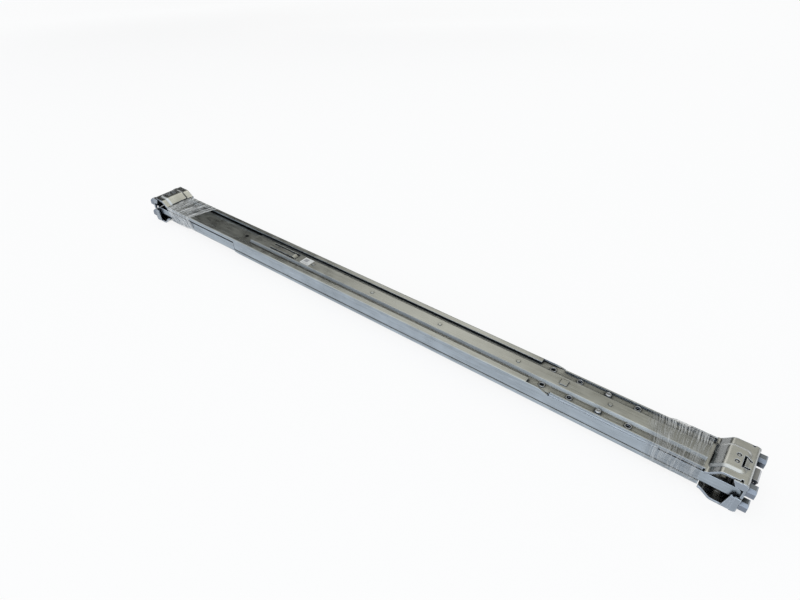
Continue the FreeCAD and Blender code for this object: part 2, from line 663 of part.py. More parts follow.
def build_latch(name, side):
    """Hooked lever on the latch pin."""
    body = new_body(f"upper_{name}_latch", "head_shift")

    def at(depth, level):
        return (f"{side} * ({HALF_SPAN} - ({depth}))", level)

    outline = [at("pivot_inset", LEVER_TOP), at("-(hook_reach - hook_nose)", LEVER_TOP),
               at("-hook_reach", f"{LEVER_TOP} - hook_nose"),
               at("-(hook_reach - hook_nose)", f"{LEVER_BOTTOM} - hook_depth"),
               at("-hook_catch", f"{LEVER_BOTTOM} - hook_depth"), at("-hook_catch", LEVER_BOTTOM),
               at("pivot_inset", LEVER_BOTTOM)]
    blade = pad(body, sketch(body, "XZ_Plane", [outline]), "latch_width", symmetric=True)
    round_edges(body, blade, 1, [outline[1], outline[2]], "hook_nose / 2")
    boss = [at("pivot_inset", "pivot_level") + ("boss_radius",)]
    pad(body, sketch(body, "XZ_Plane", circles=boss), "latch_width", symmetric=True)
    bore = [at("pivot_inset", "pivot_level") + ("pin_dia / 2 + pin_gap",)]
    pocket(body, sketch(body, "XZ_Plane", circles=bore))
    return body


def build_leaf(name, side):
    """Leaf spring under the plateau that presses on the lever."""
    body = new_body(f"upper_{name}_latch_spring", "head_shift")

    def at(depth, level):
        return (f"{side} * ({HALF_SPAN} - ({depth}))", level)

    press = f"({LEVER_TOP} + leaf_gap)"
    under = [at("leaf_root", f"{ROOF} - leaf_gauge"), at("leaf_bend", f"{ROOF} - leaf_gauge"),
             at("leaf_press", press), at("leaf_end", f"{press} + leaf_lift")]
    over = [at("leaf_end", f"{press} + leaf_lift + leaf_gauge"), at("leaf_press", f"{press} + leaf_gauge"),
            at("leaf_bend", ROOF), at("leaf_root", ROOF)]
    pad(body, sketch(body, "XZ_Plane", [under + over]), "latch_width - 2 * leaf_side", symmetric=True)
    holes = [(x, y, "leaf_rivet_dia / 2 + fit_gap") for x, y in leaf_rivet_places(side)]
    pocket(body, sketch(body, "XY_Plane", circles=holes))
    return body


def cylinder(x, y, z, radius, height, axis=(0, 0, 1)):
    """Round bar from a point of the upper rail along an axis."""
    bar = doc.addObject("Part::Cylinder", "bar")
    turn = FreeCAD.Rotation(FreeCAD.Vector(0, 0, 1), FreeCAD.Vector(axis))
    bar.Placement = FreeCAD.Placement(FreeCAD.Vector(), turn)
    place(bar, x, y, z)
    bind(bar, Radius=radius, Height=height)
    return bar


def fused(pieces):
    union = doc.addObject("Part::MultiFuse", "union")
    union.Shapes = pieces
    return union


def group(label, pieces):
    """Separate solids that share one node."""
    bundle = doc.addObject("Part::Compound", label)
    bundle.Label = label
    bundle.Links = pieces
    return bundle


def headed_pin(x, y, low, high, diameter, head_diameter, head):
    """Shank from low to high with a crowned head on top."""
    shank = cylinder(x, y, low, f"({diameter}) / 2", f"({high}) - ({low})")
    crown = doc.addObject("Part::Cone", "crown")
    place(crown, x, y, high)
    bind(crown, Radius1=f"({head_diameter}) / 2", Radius2=f"({head_diameter}) / 2 * screw_crown", Height=head)
    return fused([shank, crown])


def build_rivets(name, side, rows, low, high):
    """Rivets of a bracket's foot, dressed flush on both sides."""
    rivets = [cylinder(x, y, low, "rivet_dia / 2", f"({high}) - ({low})")
              for x, y in foot_rivet_places(side, rows)]
    return group(f"upper_{name}_bracket_rivets", rivets)


def build_leaf_rivets(name, side):
    """Rivets with their heads under the leaf, sunk a little below the top of the emboss."""
    rivets = []
    for x, y in leaf_rivet_places(side):
        low = f"({ROOF} - leaf_gauge)"
        shank = cylinder(x, f"{y} + head_shift", low, "leaf_rivet_dia / 2",
                         f"{MIDDLE} - leaf_rivet_sink - {low}")
        head = cylinder(x, f"{y} + head_shift", f"{low} - leaf_rivet_head", "leaf_rivet_dia / 2 + leaf_gauge",
                        "leaf_rivet_head")
        rivets.append(fused([shank, head]))
    return group(f"upper_{name}_latch_rivets", rivets)


def build_screws():
    x = f"({CHANNEL_END} - hole_lead + screw_pair * hole_pitch)"
    low = f"({ARM_BOTTOM} - ledge_gauge - screw_end)"
    seat = f"({ARM_TOP} + collar_rise)"
    screws = [headed_pin(x, f"{sign} * hole_rows / 2", low, seat, "screw_dia", "screw_head_dia", "screw_head")
              for sign in (-1, 1)]
    return group("upper_arm_screws", screws)


def build_pin(name, side):
    half = "(latch_width / 2 + lug_gap + lug_gauge + pin_end)"
    pin = cylinder(f"{side} * ({HALF_SPAN} - pivot_inset)", f"head_shift - {half}", "pivot_level",
                   "pin_dia / 2", f"2 * {half}", axis=(0, 1, 0))
    pin.Label = f"upper_{name}_latch_pin"
    return pin


def build_pegs(name, side):
    """Two chamfered square pegs, each riveted through the end flange by its tail."""
    pegs = [build_peg(f"{name}_peg", side, sign) for sign in (-1, 1)]
    return group(f"upper_{name}_pegs", pegs)


def build_peg(name, side, sign):
    body = new_body(name, "head_shift")
    middle = f"({sign} * peg_pitch / 2)"
    half = "(peg_size / 2)"
    square = rectangle(f"{middle} - {half}", f"peg_level - {half}",
                       f"{middle} + {half}", f"peg_level + {half}")
    face = f"{side} * {HALF_SPAN}"
    block = pad(body, sketch(body, "YZ_Plane", [square], offset=face), "peg_reach", backwards=side < 0)
    cut = round_edges(body, block, 0, square, "peg_chamfer", kind="Chamfer")
    tip = f"{side} * ({HALF_SPAN} + peg_reach)"
    flats = [(tip, f"peg_level + {half}"), (tip, f"peg_level - {half}")]
    round_edges(body, cut, 1, flats, "peg_tip", kind="Chamfer")
    tail = [(middle, "peg_level", "tail_dia / 2")]
    pad(body, sketch(body, "YZ_Plane", circles=tail, offset=face), "bracket_gauge", backwards=side > 0)
    head = [(middle, "peg_level", "tail_head_dia / 2")]
    pad(body, sketch(body, "YZ_Plane", circles=head, offset=f"{side} * ({HALF_SPAN} - bracket_gauge)"),
        "tail_head", backwards=side > 0)
    return body


def build_label():
    """Thin blank sticker on top of the hat."""
    sticker = doc.addObject("Part::Box", "upper_label")
    sticker.Label = "upper_label"
    bind(sticker, Length="label_length", Width="label_width", Height="label_gauge")
    place(sticker, f"{ARM_START} + label_lead - label_length / 2", "-label_width / 2", HAT_TOP)
    return sticker


def build_film():
    """Sleeve of stretch film round both rails, close to the right-hand heads."""
    body = doc.addObject("PartDesign::Body", "film_wrap_right")
    body.Label = "film_wrap_right"
    bind(body, Placement__Base__z=MIDDLE)

    def ring(gap):
        wide = f"({HALF_RAIL} + nest_shift + {gap})"
        narrow = f"({HALF_RAIL} - nest_shift + {gap})"
        shoulder = f"({LIP_TOP} + {gap})"
        crown = f"({HAT_TOP} + {gap})"
        flat = "(hat_top / 2)"
        half = [(narrow, shoulder), (f"{flat} - nest_shift", crown), (f"-{flat} - nest_shift", crown),
                (f"-{wide}", shoulder), (f"-{wide}", "web_level")]
        return half + [(f"-({y})", f"-({z})") for y, z in half]

    sleeve = [ring("film_gap"), ring("(film_gap + film_gauge)")]
    start = f"({HALF_SPAN} - {RISER_FOOT} - film_setback - film_length)"
    pad(body, sketch(body, "YZ_Plane", sleeve, offset=start), "film_length")
    return body


def inverted(source, label):
    """The same piece on the other side of the pack's centre."""
    image = doc.addObject("Part::Mirroring", label)
    image.Label = label
    image.Source = source
    image.Normal = (0, 0, 1)
    bind(image, Base__z=MIDDLE)
    image.Placement = FreeCAD.Placement(FreeCAD.Vector(), FreeCAD.Rotation(FreeCAD.Vector(0, 0, 1), 180))
    return image


def build_upper_rail():
    pieces = [build_channel(), build_ledge(), build_arm(), build_arm_ledge(), build_screws()]
    ends = (("front", -1, FRONT_FOOT, "front_rivet_rows", "web_level", FRONT_FOOT),
            ("rear", 1, REAR_FOOT, "rear_rivet_rows", f"{REAR_FOOT} - bracket_gauge", ARM_TOP))
    for name, side, foot, rows, rivet_low, rivet_high in ends:
        pieces += [build_bracket(name, side, foot, rows),
                   build_rivets(name, side, rows, rivet_low, rivet_high),
                   build_pegs(name, side), build_latch(name, side), build_pin(name, side),
                   build_leaf(name, side), build_leaf_rivets(name, side)]
    return pieces


def check(nodes):
    """Stop on any failed object or bad solid."""
    failed = [item.Name for item in doc.Objects if {"Invalid", "Error"} & set(item.State)]
    if failed:
        raise RuntimeError(f"failed objects: {failed}")
    for node in nodes:
        if node.Shape.isNull() or not node.Shape.isValid() or not node.Shape.Solids:
            raise RuntimeError(f"bad shape: {node.Label}")


upper = build_upper_rail()
lower = [inverted(piece, piece.Label.replace("upper_", "lower_")) for piece in upper]
right_film = build_film()
nodes = upper + lower + [build_label(), right_film, inverted(right_film, "film_wrap_left")]
doc.recompute()
check(nodes)
os.makedirs("parts", exist_ok=True)
for node in nodes:
    node.Shape.exportStep(f"parts/{node.Label}.step")
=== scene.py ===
import math

import bpy
import numpy as np
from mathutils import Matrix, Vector, geometry, noise


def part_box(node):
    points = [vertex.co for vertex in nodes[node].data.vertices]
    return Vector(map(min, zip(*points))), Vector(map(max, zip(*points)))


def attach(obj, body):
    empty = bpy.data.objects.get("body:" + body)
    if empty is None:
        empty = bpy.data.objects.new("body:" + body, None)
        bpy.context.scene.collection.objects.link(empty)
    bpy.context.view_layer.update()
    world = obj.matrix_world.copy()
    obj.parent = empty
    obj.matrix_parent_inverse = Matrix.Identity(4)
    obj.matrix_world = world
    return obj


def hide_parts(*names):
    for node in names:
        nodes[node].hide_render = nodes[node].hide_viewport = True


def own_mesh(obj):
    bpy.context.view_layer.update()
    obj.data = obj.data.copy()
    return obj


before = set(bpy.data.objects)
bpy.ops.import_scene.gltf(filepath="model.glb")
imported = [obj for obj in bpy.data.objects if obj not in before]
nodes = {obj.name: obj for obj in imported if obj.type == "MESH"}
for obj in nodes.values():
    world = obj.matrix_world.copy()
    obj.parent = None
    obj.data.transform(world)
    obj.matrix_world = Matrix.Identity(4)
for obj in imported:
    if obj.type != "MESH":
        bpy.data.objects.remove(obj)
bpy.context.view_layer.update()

# Looks of a packed pair of telescoping rack rails: zinc-plated steel, bright latches and stretch film.
# Metres, in the frame of the solids: +X along the rails, +Z up, the front side towards -Y.

MM = 0.001
RAILS = (("upper", 1), ("lower", -1))   # each rail, and which way its outer side faces
PACK_CENTRE = (0.0, 16.1 * MM)  # across the rails, in Y and Z; the rails meet in the plane through it


def in_metres(*spots):
    """Profile of radii and heights that are given in millimetres."""
    return [(radius * MM, height * MM) for radius, height in spots]


# Camera of the photograph
IMAGE_WIDTH = 800
FOCAL_PIXELS = 575.67           # focal length, in pixels of the image's width
SENSOR = 36.0                   # millimetres, across the image
CAMERA_PLACE = (0.29788, -0.34787, 0.36771)
CAMERA_AZIMUTH = 37.45          # degrees
CAMERA_ELEVATION = 37.42
CAMERA_NEAR = 0.01              # nearest distance that the camera sees

# Plated steel
WORN_STEEL_AND_SHEEN = (0.66, 0.73, 0.82) # bare metal of scratches and worn edges; on the edges also a painted highlight
PAINTED_CORNER_SHADE = 0.12              # painted shade in deep corners, against the plating
CORNER_UNSHADED = 0.94             # openness from which a surface gets no painted shade
RAIL_REACH = 7 * MM             # how far the painted shade of a rail's grooves reaches
SCREW_REACH = 2 * MM            # the same in the sockets of the screws
HEAD_REACH = 24 * MM            # the same inside the hollow heads
RAIL_EDGE = 0.4 * MM            # rounding of the sheet's edges and bends, and width of the edges' painted highlight
LEDGE_EDGE = 0.8 * MM
SCREW_EDGE = 0.3 * MM
HEAD_EDGE = 1.2 * MM
LEVEL_SPAN = (0.30, 0.85)       # slope of a face, from standing to level; over it the painted tint of standing faces gives way to the level colour
ROLLING = (30, 1500, 1500)      # how closely a pattern repeats along and across the rails
DRIFT = (7, 60, 60)
CLOUDS = (70, 110, 110)
SCRATCHES = (60, 2600, 900)
CROSS_SCRATCHES = (90, 2300, 900)
SCRATCH_TURN = (0, 0, 0.35)     # radians
CROSS_TURN = (0, 0, -0.9)
NOISE_SPAN = (0.3, 0.7)         # dark and light ends of a pattern
LINE_SPAN = (0.25, 0.75)
SCRATCH_SPAN = (0.70, 0.78)
CROSS_SPAN = (0.72, 0.80)
GRAIN_SPAN = (0.1, 0.45)
WEAR_SPAN = (0.995, 0.86)       # how far an edge is turned away, from untouched to bare and brightest in the painted highlight
LINE_SHADE = 0.12               # light and dark of the rolling lines
GRAIN_SMOOTHER = 0.07           # least and most roughness, against the mean
GRAIN_ROUGHER = 0.09
RELIEF_STRENGTH = 0.12
RELIEF_DEPTH = 0.15 * MM
EDGE_SAMPLES = 4
CORNER_SAMPLES = 6

# Sticker, in shares of its length and width
BLOCK_ALONG = (0.16, 0.58)
BLOCK_ACROSS = (0.36, 0.84)
BLOCK_INK = 0.75
BARS_ALONG = (0.12, 0.88)
BARS_ACROSS = (0.12, 0.24)
BARS_WAVE = 70.0                # radians along the whole sticker
BARS_LEVEL = 0.2
BARS_INK = 0.8
PAPER_FIBRE = (2500, 2500, 2500)
PAPER_DARK = (0.58, 0.58, 0.56)
PAPER_LIGHT = (0.66, 0.66, 0.64)
BLOCK_GREY = (0.22, 0.22, 0.23)
BARS_BLACK = (0.10, 0.10, 0.11)
PAPER_ROUGHNESS = (0.42, 0.58)

# Stretch film
FILM_VEIL = 0.20                # opacity of the film between its strain lines
FILM_FADE = 12.0 * MM           # the inner edge clings so closely that it can't be seen
FILM_ROLL = 0.8 * MM            # half width of the roll where the film lies loose
FILM_ROLL_SHARE = 0.5
FILM_LEFT_START = 3.7           # where each film starts in its own pattern of lines
FILM_RIGHT_START = 8.2
FILM_LEFT_SHOWN = 0.9 * FILM_FADE       # the left film's inner edge lies loose and shows
FILM_RIGHT_SHOWN = 0.0
STRAIN_LINES = (430, 9, 1)      # along the rails and round the wrap
STRAIN_TURN = (0, 0, 0.02)
STRAIN_WIDTH = 0.06
STRAIN_SHARE = 0.40
CROSSING_LINES = (680, 14, 1)
CROSSING_TURN = (0, 0, -0.03)
CROSSING_WIDTH = 0.05
CROSSING_SHARE = 0.34
STRAIN_PATCHES = (60, 50, 1)
PATCH_SPAN = (0.36, 0.62)
PATCH_LEAST = 0.45
WHITE_SPAN = (0.0, 0.4)
# dark veil: painted reflection of dark surroundings; whitish lines: partly stretch marks, partly painted
# sheen of the folds
FILM_PAINTED_DARK = (0.12, 0.12, 0.12)
FILM_MARKS_AND_SHEEN = (0.74, 0.745, 0.73)
FILM_ROUGHNESS = (0.15, 0.35)
FILM_RELIEF = 0.8
FILM_RELIEF_DEPTH = 0.4 * MM
FILM_ROUND = 240                # points round the wrap
FILM_ALONG = 64                 # points along the rails
FILM_FOLD = 0.22 * MM           # depth of the folds
FILM_GAP = 0.22 * MM            # from the steel to the middle of the folds
FILM_EDGE = 1.4 * MM            # waviness of the film's edges
FILM_EDGE_WAVES = 1.6           # how many more waves the inner edge has
FILM_LEAN = 5.0 * MM            # the inner edge leans by this much from the front to the back
FILM_CLIMB = 5.0 * MM           # run in which the film rises over the rim of the foot
FILM_SOFTENING = 2              # rounds of smoothing of the outline
BROAD_FOLDS = (420, 1.2)        # along the rails and round the wrap
NARROW_FOLDS = (1100, 2.5)
NARROW_SHARE = 0.6
NARROW_SHIFT = 9
FILM_UNDER = ("upper_arm", "upper_arm_ledge", "upper_channel", "upper_ledge",
              "lower_arm", "lower_arm_ledge", "lower_channel", "lower_ledge")
PARALLEL = 1e-12
CORNER_SLACK = 1e-9
EDGE_SLACK = 1e-6

# Holes, screws, rivets and springs; profiles are radius and height from the outer face of the sheet
TURN_STEPS = 28
TUBE_STEPS = 10
HOLE_PITCH = 24.0 * MM          # from pair to pair along the arm; the screws are in the third pair
HOLE_ROWS = 21.8 * MM
HOLE_PLACES = (-2, -1, 1)       # open pairs, counted from the screws towards the head
HOLE_RING = 2.4 * MM            # the bead round an open hole
HOLE_TUBE = 0.38 * MM
HOLE_WALL = in_metres((2.09, 0.0), (2.09, -1.2), (2.02, -1.2), (2.02, 0.0))
SCREW_RISE = 1.7 * MM           # top of the screws, above the sheet
SCREW_PROFILE = in_metres((0.0, -3.15), (2.0, -3.15), (2.0, 0.0), (2.6, 0.0), (2.6, 0.45), (2.35, 1.05),
                          (1.85, 1.5), (1.35, 1.66), (1.2, 1.6), (1.05, 0.75), (0.0, 0.65))
WEB_TOP = 7.2 * MM              # outer face of a channel's web, from the plane where the rails meet
WEB_HOLE_LEAD = 14.4 * MM       # hole in the web, from the arm's inner end
# cup that closes the hole in the web, with a rim, all near black as painted shade
WEB_HOLE_CUP = in_metres((0.0, -1.18), (1.58, -1.18), (1.58, 0.0), (2.15, 0.0), (2.15, 0.02),
                         (1.55, 0.04), (1.55, -1.15), (0.0, -1.15))
RIVET_ROWS = 6.8 * MM
RIVET_SINK = 0.3 * MM
RIVET_DOME = in_metres((0.0, -0.3), (1.05, -0.3), (1.0, -0.14), (0.75, -0.05), (0.4, -0.01), (0.0, 0.0))

# Studio
FLOOR_HALF = 4.0
FLOOR_DARK = 0.90
FLOOR_LIGHT = 0.92
FLOOR_GRAIN = (3, 3, 3)
FLOOR_ROUGHNESS = 0.9
FLOOR_SHINE = 0.1
FLOOR_GLOW = 0.85               # how much of the seen floor is plain white
BACK_SPAN = (-0.3, 0.4)         # from the front to the back
LOW_SPAN = (0.18, 0.36)         # from the horizon to the wall
LIFT_SPAN = (0.50, 1.0)         # from the wall to overhead
BACK_WALL = (0.37, 0.37, 0.35)
BACK_HORIZON = (0.90, 0.92, 0.96)
FRONT_WALL = (0.80, 0.85, 0.92)
BACK_OVERHEAD = (0.96, 0.95, 0.86)
FRONT_OVERHEAD = (1.30, 1.38, 1.50)
FLAG_DARK = (0.05, 0.05, 0.05)
FLAG_LIGHT = (0.07, 0.07, 0.065)
FLAG_GRAIN = (40, 40, 40)
FLAG_ROUGHNESS = 0.95
LAMPS = {
    "back_key": {"place": (-0.60, 1.05, 1.05), "target": (0.0, 0.0, 0.0), "size": (0.7, 0.7),
                 "power": 1.0, "colour": (1.0, 0.98, 0.93)},
    "front_fill": {"place": (0.4, -1.4, 0.8), "target": (0.0, 0.0, 0.0), "size": (1.6, 0.8),
                   "power": 3.0, "colour": (0.88, 0.94, 1.0)},
}
FLAGS = {
    "left_flag": {"place": (-1.25, 0.58, 0.56), "target": (-0.2, 0.0, 0.0), "size": (0.75, 0.75)},
    "back_flag": {"place": (-0.62, 1.05, 0.38), "target": (0.33, 0.0, 0.03), "size": (0.7, 0.40)},
}

# Sockets of a colour mix: share, first and second colour, and the result
MIX_INPUTS = (0, 6, 7)
MIX_RESULT = 2


def feed(tree, socket, value):
    """Link a socket to another one, or give it a plain value."""
    if isinstance(value, bpy.types.NodeSocket):
        tree.links.new(value, socket)
    else:
        socket.default_value = value


def shader(tree, kind, inputs=None, **settings):
    """A shader node with its settings and inputs made."""
    made = tree.nodes.new(f"ShaderNode{kind}")
    for name, value in settings.items():
        setattr(made, name, value)
    for name, value in (inputs or {}).items():
        feed(tree, made.inputs[name], value)
    return made


def new_material(name):
    """An empty node material, its tree and its principled shader."""
    material = bpy.data.materials.new(name)
    material.use_nodes = True
    tree = material.node_tree
    return material, tree, tree.nodes["Principled BSDF"]


def stretched_noise(tree, place, scale, turn=(0, 0, 0), detail=3.0):
    """Noise over a place, stretched by one scale for each axis."""
    mapping = shader(tree, "Mapping", {"Vector": place, "Rotation": turn, "Scale": scale})
    found = shader(tree, "TexNoise", {"Vector": mapping.outputs[0], "Scale": 1.0, "Detail": detail})
    return found.outputs["Fac"]


def spread(tree, value, span, to_low, to_high, smooth=False):
    """A value over a span spread over another range, and held at its ends."""
    kind = "SMOOTHSTEP" if smooth else "LINEAR"
    inputs = {"Value": value, "From Min": span[0], "From Max": span[1], "To Min": to_low, "To Max": to_high}
    return shader(tree, "MapRange", inputs, interpolation_type=kind).outputs[0]


def mixed(tree, share, first, second, blend="MIX"):
    """Two colours mixed by a share."""
    made = shader(tree, "Mix", data_type="RGBA", blend_type=blend)
    for place, value in zip(MIX_INPUTS, (share, first, second)):
        feed(tree, made.inputs[place], value)
    return made.outputs[MIX_RESULT]


def math_node(tree, operation, first, second=0.0):
    """One step of arithmetic on one or two values."""
    made = shader(tree, "Math", operation=operation)
    for socket, value in zip(made.inputs, (first, second)):
        feed(tree, socket, value)
    return made.outputs[0]


def rgba(colour):
    """A colour without transparency."""
    return (*colour, 1.0)


def steel(name, level, upright_painted_tint, roughness, rolled=1.0, cloud=0.10, scuffs=0.3, reach=RAIL_REACH,
          shut=0.45, edge=RAIL_EDGE, wear_and_sheen=0.6, alone=False, unshaded_walls=False):
    """Plated sheet steel: rolling lines along X, clouds, scuffs; upright faces cooler and darker and corners
    darkened as painted shade, edges lightened as wear and painted highlight.
    """
    material, tree, surface = new_material(name)
    # Upright faces take their own cooler, mostly darker colour against the level colour of flat faces:
    # painted shade and painted reflection of the bright front
    true_normal = shader(tree, "NewGeometry").outputs["Normal"]
    tilt = shader(tree, "SeparateXYZ", {"Vector": true_normal}).outputs["Z"]
    flatness = spread(tree, math_node(tree, "ABSOLUTE", tilt), LEVEL_SPAN, 0.0, 1.0, smooth=True)
    colour = mixed(tree, flatness, rgba(upright_painted_tint), rgba(level))
    place = shader(tree, "TexCoord").outputs["Object"]
    lines = stretched_noise(tree, place, ROLLING)
    drift = stretched_noise(tree, place, DRIFT, detail=2.0)
    clouds = stretched_noise(tree, place, CLOUDS, detail=5.0)
    scratch = stretched_noise(tree, place, SCRATCHES, turn=SCRATCH_TURN, detail=1.0)
    cross_scratch = stretched_noise(tree, place, CROSS_SCRATCHES, turn=CROSS_TURN, detail=1.0)

    shade = spread(tree, clouds, NOISE_SPAN, 1.0 - cloud, 1.0 + cloud)
    slow = spread(tree, drift, NOISE_SPAN, 1.0 - cloud, 1.0 + cloud)
    line_shade = LINE_SHADE * rolled
    fine = spread(tree, lines, LINE_SPAN, 1.0 - line_shade, 1.0 + line_shade)
    shade = math_node(tree, "MULTIPLY", math_node(tree, "MULTIPLY", shade, slow), fine)
    tone = shader(tree, "CombineColor", {"Red": shade, "Green": shade, "Blue": shade}).outputs[0]
    plated = mixed(tree, 1.0, colour, tone, "MULTIPLY")

    # Edges lightened towards bright bluish steel: partly wear, partly a painted highlight of the rounded
    # edges
    bevel = shader(tree, "Bevel", {"Radius": edge}, samples=EDGE_SAMPLES)
    facing = shader(tree, "VectorMath", {0: bevel.outputs[0], 1: true_normal}, operation="DOT_PRODUCT")
    worn_and_sheen = spread(tree, facing.outputs["Value"], WEAR_SPAN, 0.0, wear_and_sheen)
    scuffed = math_node(tree, "MAXIMUM", spread(tree, scratch, SCRATCH_SPAN, 0.0, scuffs),
                        spread(tree, cross_scratch, CROSS_SPAN, 0.0, scuffs))
    plated = mixed(tree, math_node(tree, "MAXIMUM", worn_and_sheen, scuffed), plated, rgba(WORN_STEEL_AND_SHEEN))

    # Painted shade: corners, grooves and hollows darkened by ambient occlusion; upright faces can be spared
    corner = shader(tree, "AmbientOcclusion", {"Distance": reach}, samples=CORNER_SAMPLES, only_local=alone)
    unshaded_share = spread(tree, corner.outputs["AO"], (shut, CORNER_UNSHADED), 0.0, 1.0)
    if unshaded_walls:
        unshaded_share = math_node(tree, "MAXIMUM", unshaded_share, math_node(tree, "SUBTRACT", 1.0, flatness))
    dark = mixed(tree, 1.0, plated, rgba([PAINTED_CORNER_SHADE] * 3), "MULTIPLY")
    tree.links.new(mixed(tree, unshaded_share, dark, plated), surface.inputs["Base Color"])

    grainy = spread(tree, math_node(tree, "MULTIPLY", lines, clouds), GRAIN_SPAN,
                    roughness - GRAIN_SMOOTHER, roughness + GRAIN_ROUGHER)
    tree.links.new(grainy, surface.inputs["Roughness"])
    relief = math_node(tree, "ADD", math_node(tree, "MULTIPLY", lines, rolled), clouds)
    bump = shader(tree, "Bump", {"Strength": RELIEF_STRENGTH, "Distance": RELIEF_DEPTH, "Height": relief,
                                 "Normal": bevel.outputs[0]})
    tree.links.new(bump.outputs[0], surface.inputs["Normal"])
    surface.inputs["Metallic"].default_value = 1.0
    return material


def band(tree, value, span):
    """One where a value lies inside a span, and nothing elsewhere."""
    inside = math_node(tree, "GREATER_THAN", value, span[0])
    return math_node(tree, "MULTIPLY", inside, math_node(tree, "LESS_THAN", value, span[1]))


def label_paper(name):
    """White sticker with a plain grey block and a few plain bars."""
    low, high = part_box("upper_label")
    material, tree, surface = new_material(name)
    place = shader(tree, "TexCoord").outputs["Object"]
    spot = shader(tree, "SeparateXYZ", {"Vector": place})
    along = spread(tree, spot.outputs["X"], (low.x, high.x), 0.0, 1.0)
    across = spread(tree, spot.outputs["Y"], (low.y, high.y), 0.0, 1.0)

    block = math_node(tree, "MULTIPLY", band(tree, along, BLOCK_ALONG), band(tree, across, BLOCK_ACROSS))
    wave = math_node(tree, "SINE", math_node(tree, "MULTIPLY", along, BARS_WAVE))
    bars = math_node(tree, "GREATER_THAN", wave, BARS_LEVEL)
    strip = math_node(tree, "MULTIPLY", band(tree, along, BARS_ALONG), band(tree, across, BARS_ACROSS))
    bars = math_node(tree, "MULTIPLY", bars, strip)
    fibre = stretched_noise(tree, place, PAPER_FIBRE)
    paper = mixed(tree, spread(tree, fibre, NOISE_SPAN, 0.0, 1.0), rgba(PAPER_DARK), rgba(PAPER_LIGHT))
    inked = mixed(tree, math_node(tree, "MULTIPLY", block, BLOCK_INK), paper, rgba(BLOCK_GREY))
    inked = mixed(tree, math_node(tree, "MULTIPLY", bars, BARS_INK), inked, rgba(BARS_BLACK))
    tree.links.new(inked, surface.inputs["Base Color"])
    tree.links.new(spread(tree, fibre, NOISE_SPAN, *PAPER_ROUGHNESS), surface.inputs["Roughness"])
    return material


def creases(tree, pattern, width, share):
    """Thin lines where a pattern passes its middle value."""
    off_middle = math_node(tree, "ABSOLUTE", math_node(tree, "SUBTRACT", pattern, 0.5))
    return spread(tree, off_middle, (0.0, width), share, 0.0, smooth=True)


def film_clear(name):
    """Clear stretch film with fine whitish strain lines round the wrap, partly stretch marks and partly
    painted sheen of the folds, over a dark veil of painted reflection; fading out at its inner edge.
    """
    material, tree, surface = new_material(name)
    place = shader(tree, "UVMap", uv_map="wrap").outputs["UV"]
    spot = shader(tree, "SeparateXYZ", {"Vector": place})
    along = spot.outputs["X"]
    slack = spread(tree, spot.outputs["Y"], (FILM_LEFT_START, FILM_RIGHT_START), 1.0, 0.0)
    fine = stretched_noise(tree, place, STRAIN_LINES, turn=STRAIN_TURN, detail=2.0)
    crossing = stretched_noise(tree, place, CROSSING_LINES, turn=CROSSING_TURN, detail=1.0)
    patch = stretched_noise(tree, place, STRAIN_PATCHES, detail=2.0)

    lines = math_node(tree, "MAXIMUM", creases(tree, fine, STRAIN_WIDTH, STRAIN_SHARE),
                      creases(tree, crossing, CROSSING_WIDTH, CROSSING_SHARE))
    lines = math_node(tree, "MULTIPLY", lines, spread(tree, patch, PATCH_SPAN, PATCH_LEAST, 1.0))
    off_roll = math_node(tree, "ABSOLUTE", math_node(tree, "SUBTRACT", along, FILM_FADE))
    roll = spread(tree, off_roll, (0.0, FILM_ROLL), FILM_ROLL_SHARE, 0.0, smooth=True)
    rolled_line = math_node(tree, "MULTIPLY", roll, slack)
    lines = math_node(tree, "MULTIPLY", lines, math_node(tree, "ADD", slack, 1.0))
    lines = math_node(tree, "MAXIMUM", lines, rolled_line)
    fade = spread(tree, along, (0.0, FILM_FADE), 0.0, 1.0, smooth=True)
    shown = math_node(tree, "MULTIPLY", math_node(tree, "ADD", lines, FILM_VEIL), fade)
    tree.links.new(shown, surface.inputs["Alpha"])
    # dark veil as painted reflection, whitish lines as stretch marks and painted sheen
    marks_and_sheen_tint = mixed(tree, spread(tree, lines, WHITE_SPAN, 0.0, 1.0), rgba(FILM_PAINTED_DARK), rgba(FILM_MARKS_AND_SHEEN))
    tree.links.new(marks_and_sheen_tint, surface.inputs["Base Color"])
    tree.links.new(spread(tree, fine, NOISE_SPAN, *FILM_ROUGHNESS), surface.inputs["Roughness"])
    bump = shader(tree, "Bump", {"Strength": FILM_RELIEF, "Distance": FILM_RELIEF_DEPTH, "Height": fine})
    tree.links.new(bump.outputs[0], surface.inputs["Normal"])
    return material


# Each steel has a level colour and a cooler, mostly darker copy for upright faces; that copy is painted
# shade and painted reflection
RAIL_SHEET = {"level": (0.43, 0.437, 0.41), "upright_painted_tint": (0.33, 0.38, 0.43), "roughness": 0.31,
              "unshaded_walls": True}
SPRING_GREY = (0.24, 0.25, 0.27)
# near black: painted shade in the hole of a channel's web
HOLE_PAINTED_SHADE = (0.03, 0.03, 0.03)
